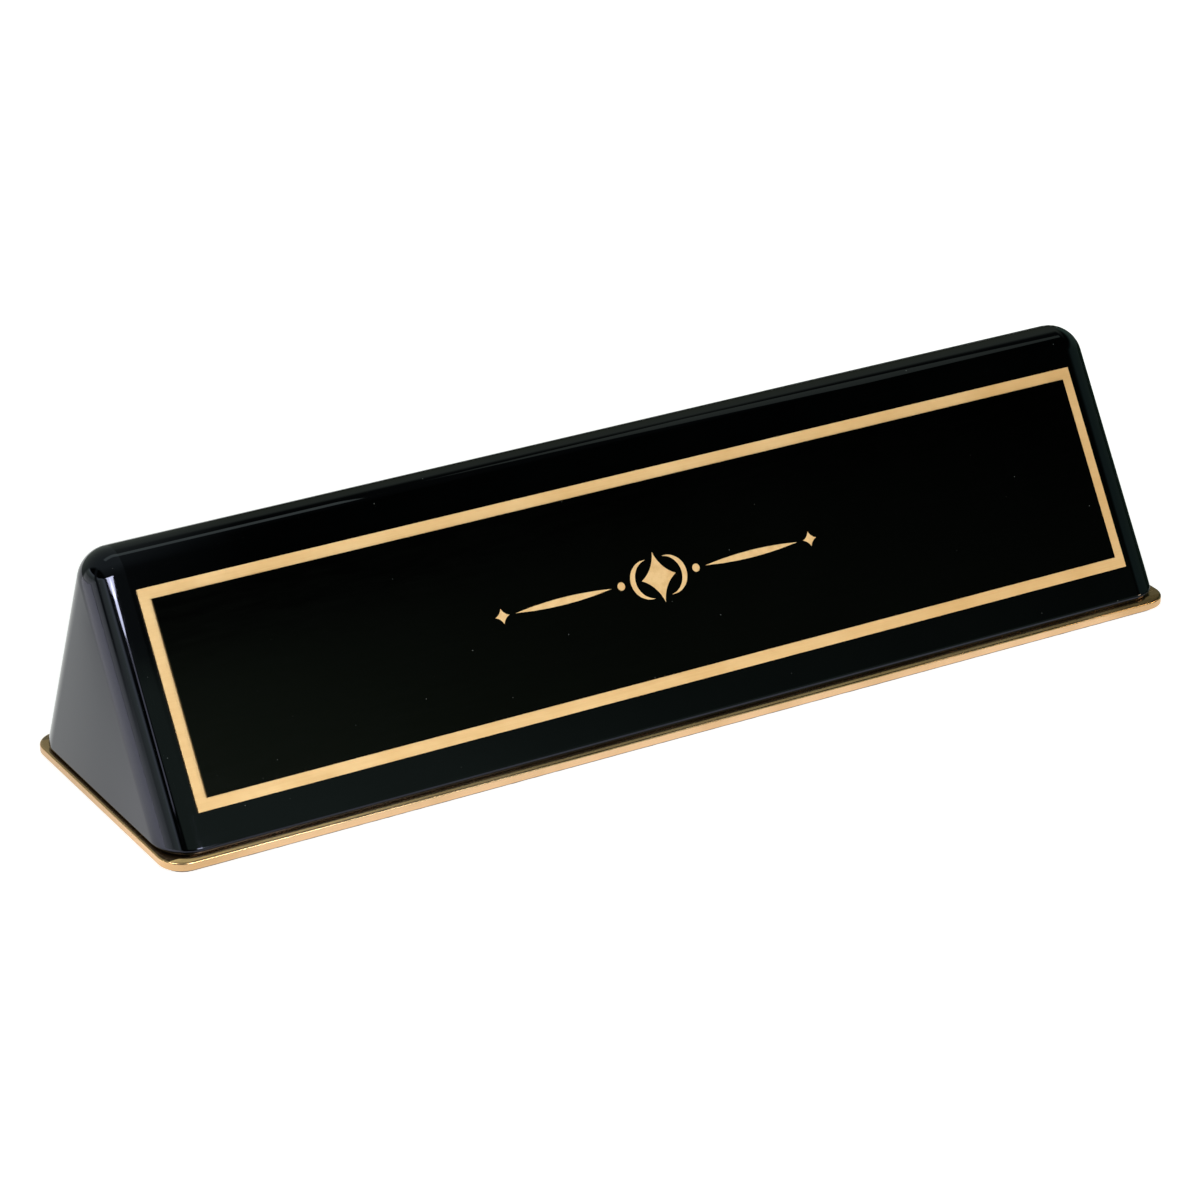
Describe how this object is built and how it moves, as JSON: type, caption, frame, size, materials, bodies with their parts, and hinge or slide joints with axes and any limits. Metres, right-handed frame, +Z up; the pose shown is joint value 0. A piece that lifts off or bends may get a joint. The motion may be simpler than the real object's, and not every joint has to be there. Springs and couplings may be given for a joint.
{
  "type": "desk name plate",
  "caption": "Glossy black wedge-shaped desk name plate on a polished gold-tone base, with a gold-bordered black plate and an engraved ornament on its sloping face.",
  "frame": {"origin": "middle of the felt's underside, on the desk", "axes": "+X along the length, +Z up, the sloping face with the plate looks towards -Y"},
  "size_m": [0.2666, 0.072, 0.0602],
  "materials": {
    "black_lacquer": "black piano lacquer over a wood core, polished to a high gloss",
    "polished_brass": "polished, mirror-like",
    "screw_steel": "zinc plated",
    "black_felt": "pressed felt",
    "adhesive": "double-sided adhesive sheet",
    "border_brass": "fine satin",
    "black_coat": "black coat on brass sheet, smooth satin gloss",
    "gold_fill": "gold fill in the engraving, satin"
  },
  "bodies": {
    "root": {"wedge_body": "black_lacquer", "base_plate": "polished_brass", "base_screws": "screw_steel", "felt_pad": "black_felt", "border_tape": "adhesive", "border_plate": "border_brass", "name_tape": "adhesive", "name_plate": "black_coat", "engraving_fill": "gold_fill"}
  },
  "joints": []
}
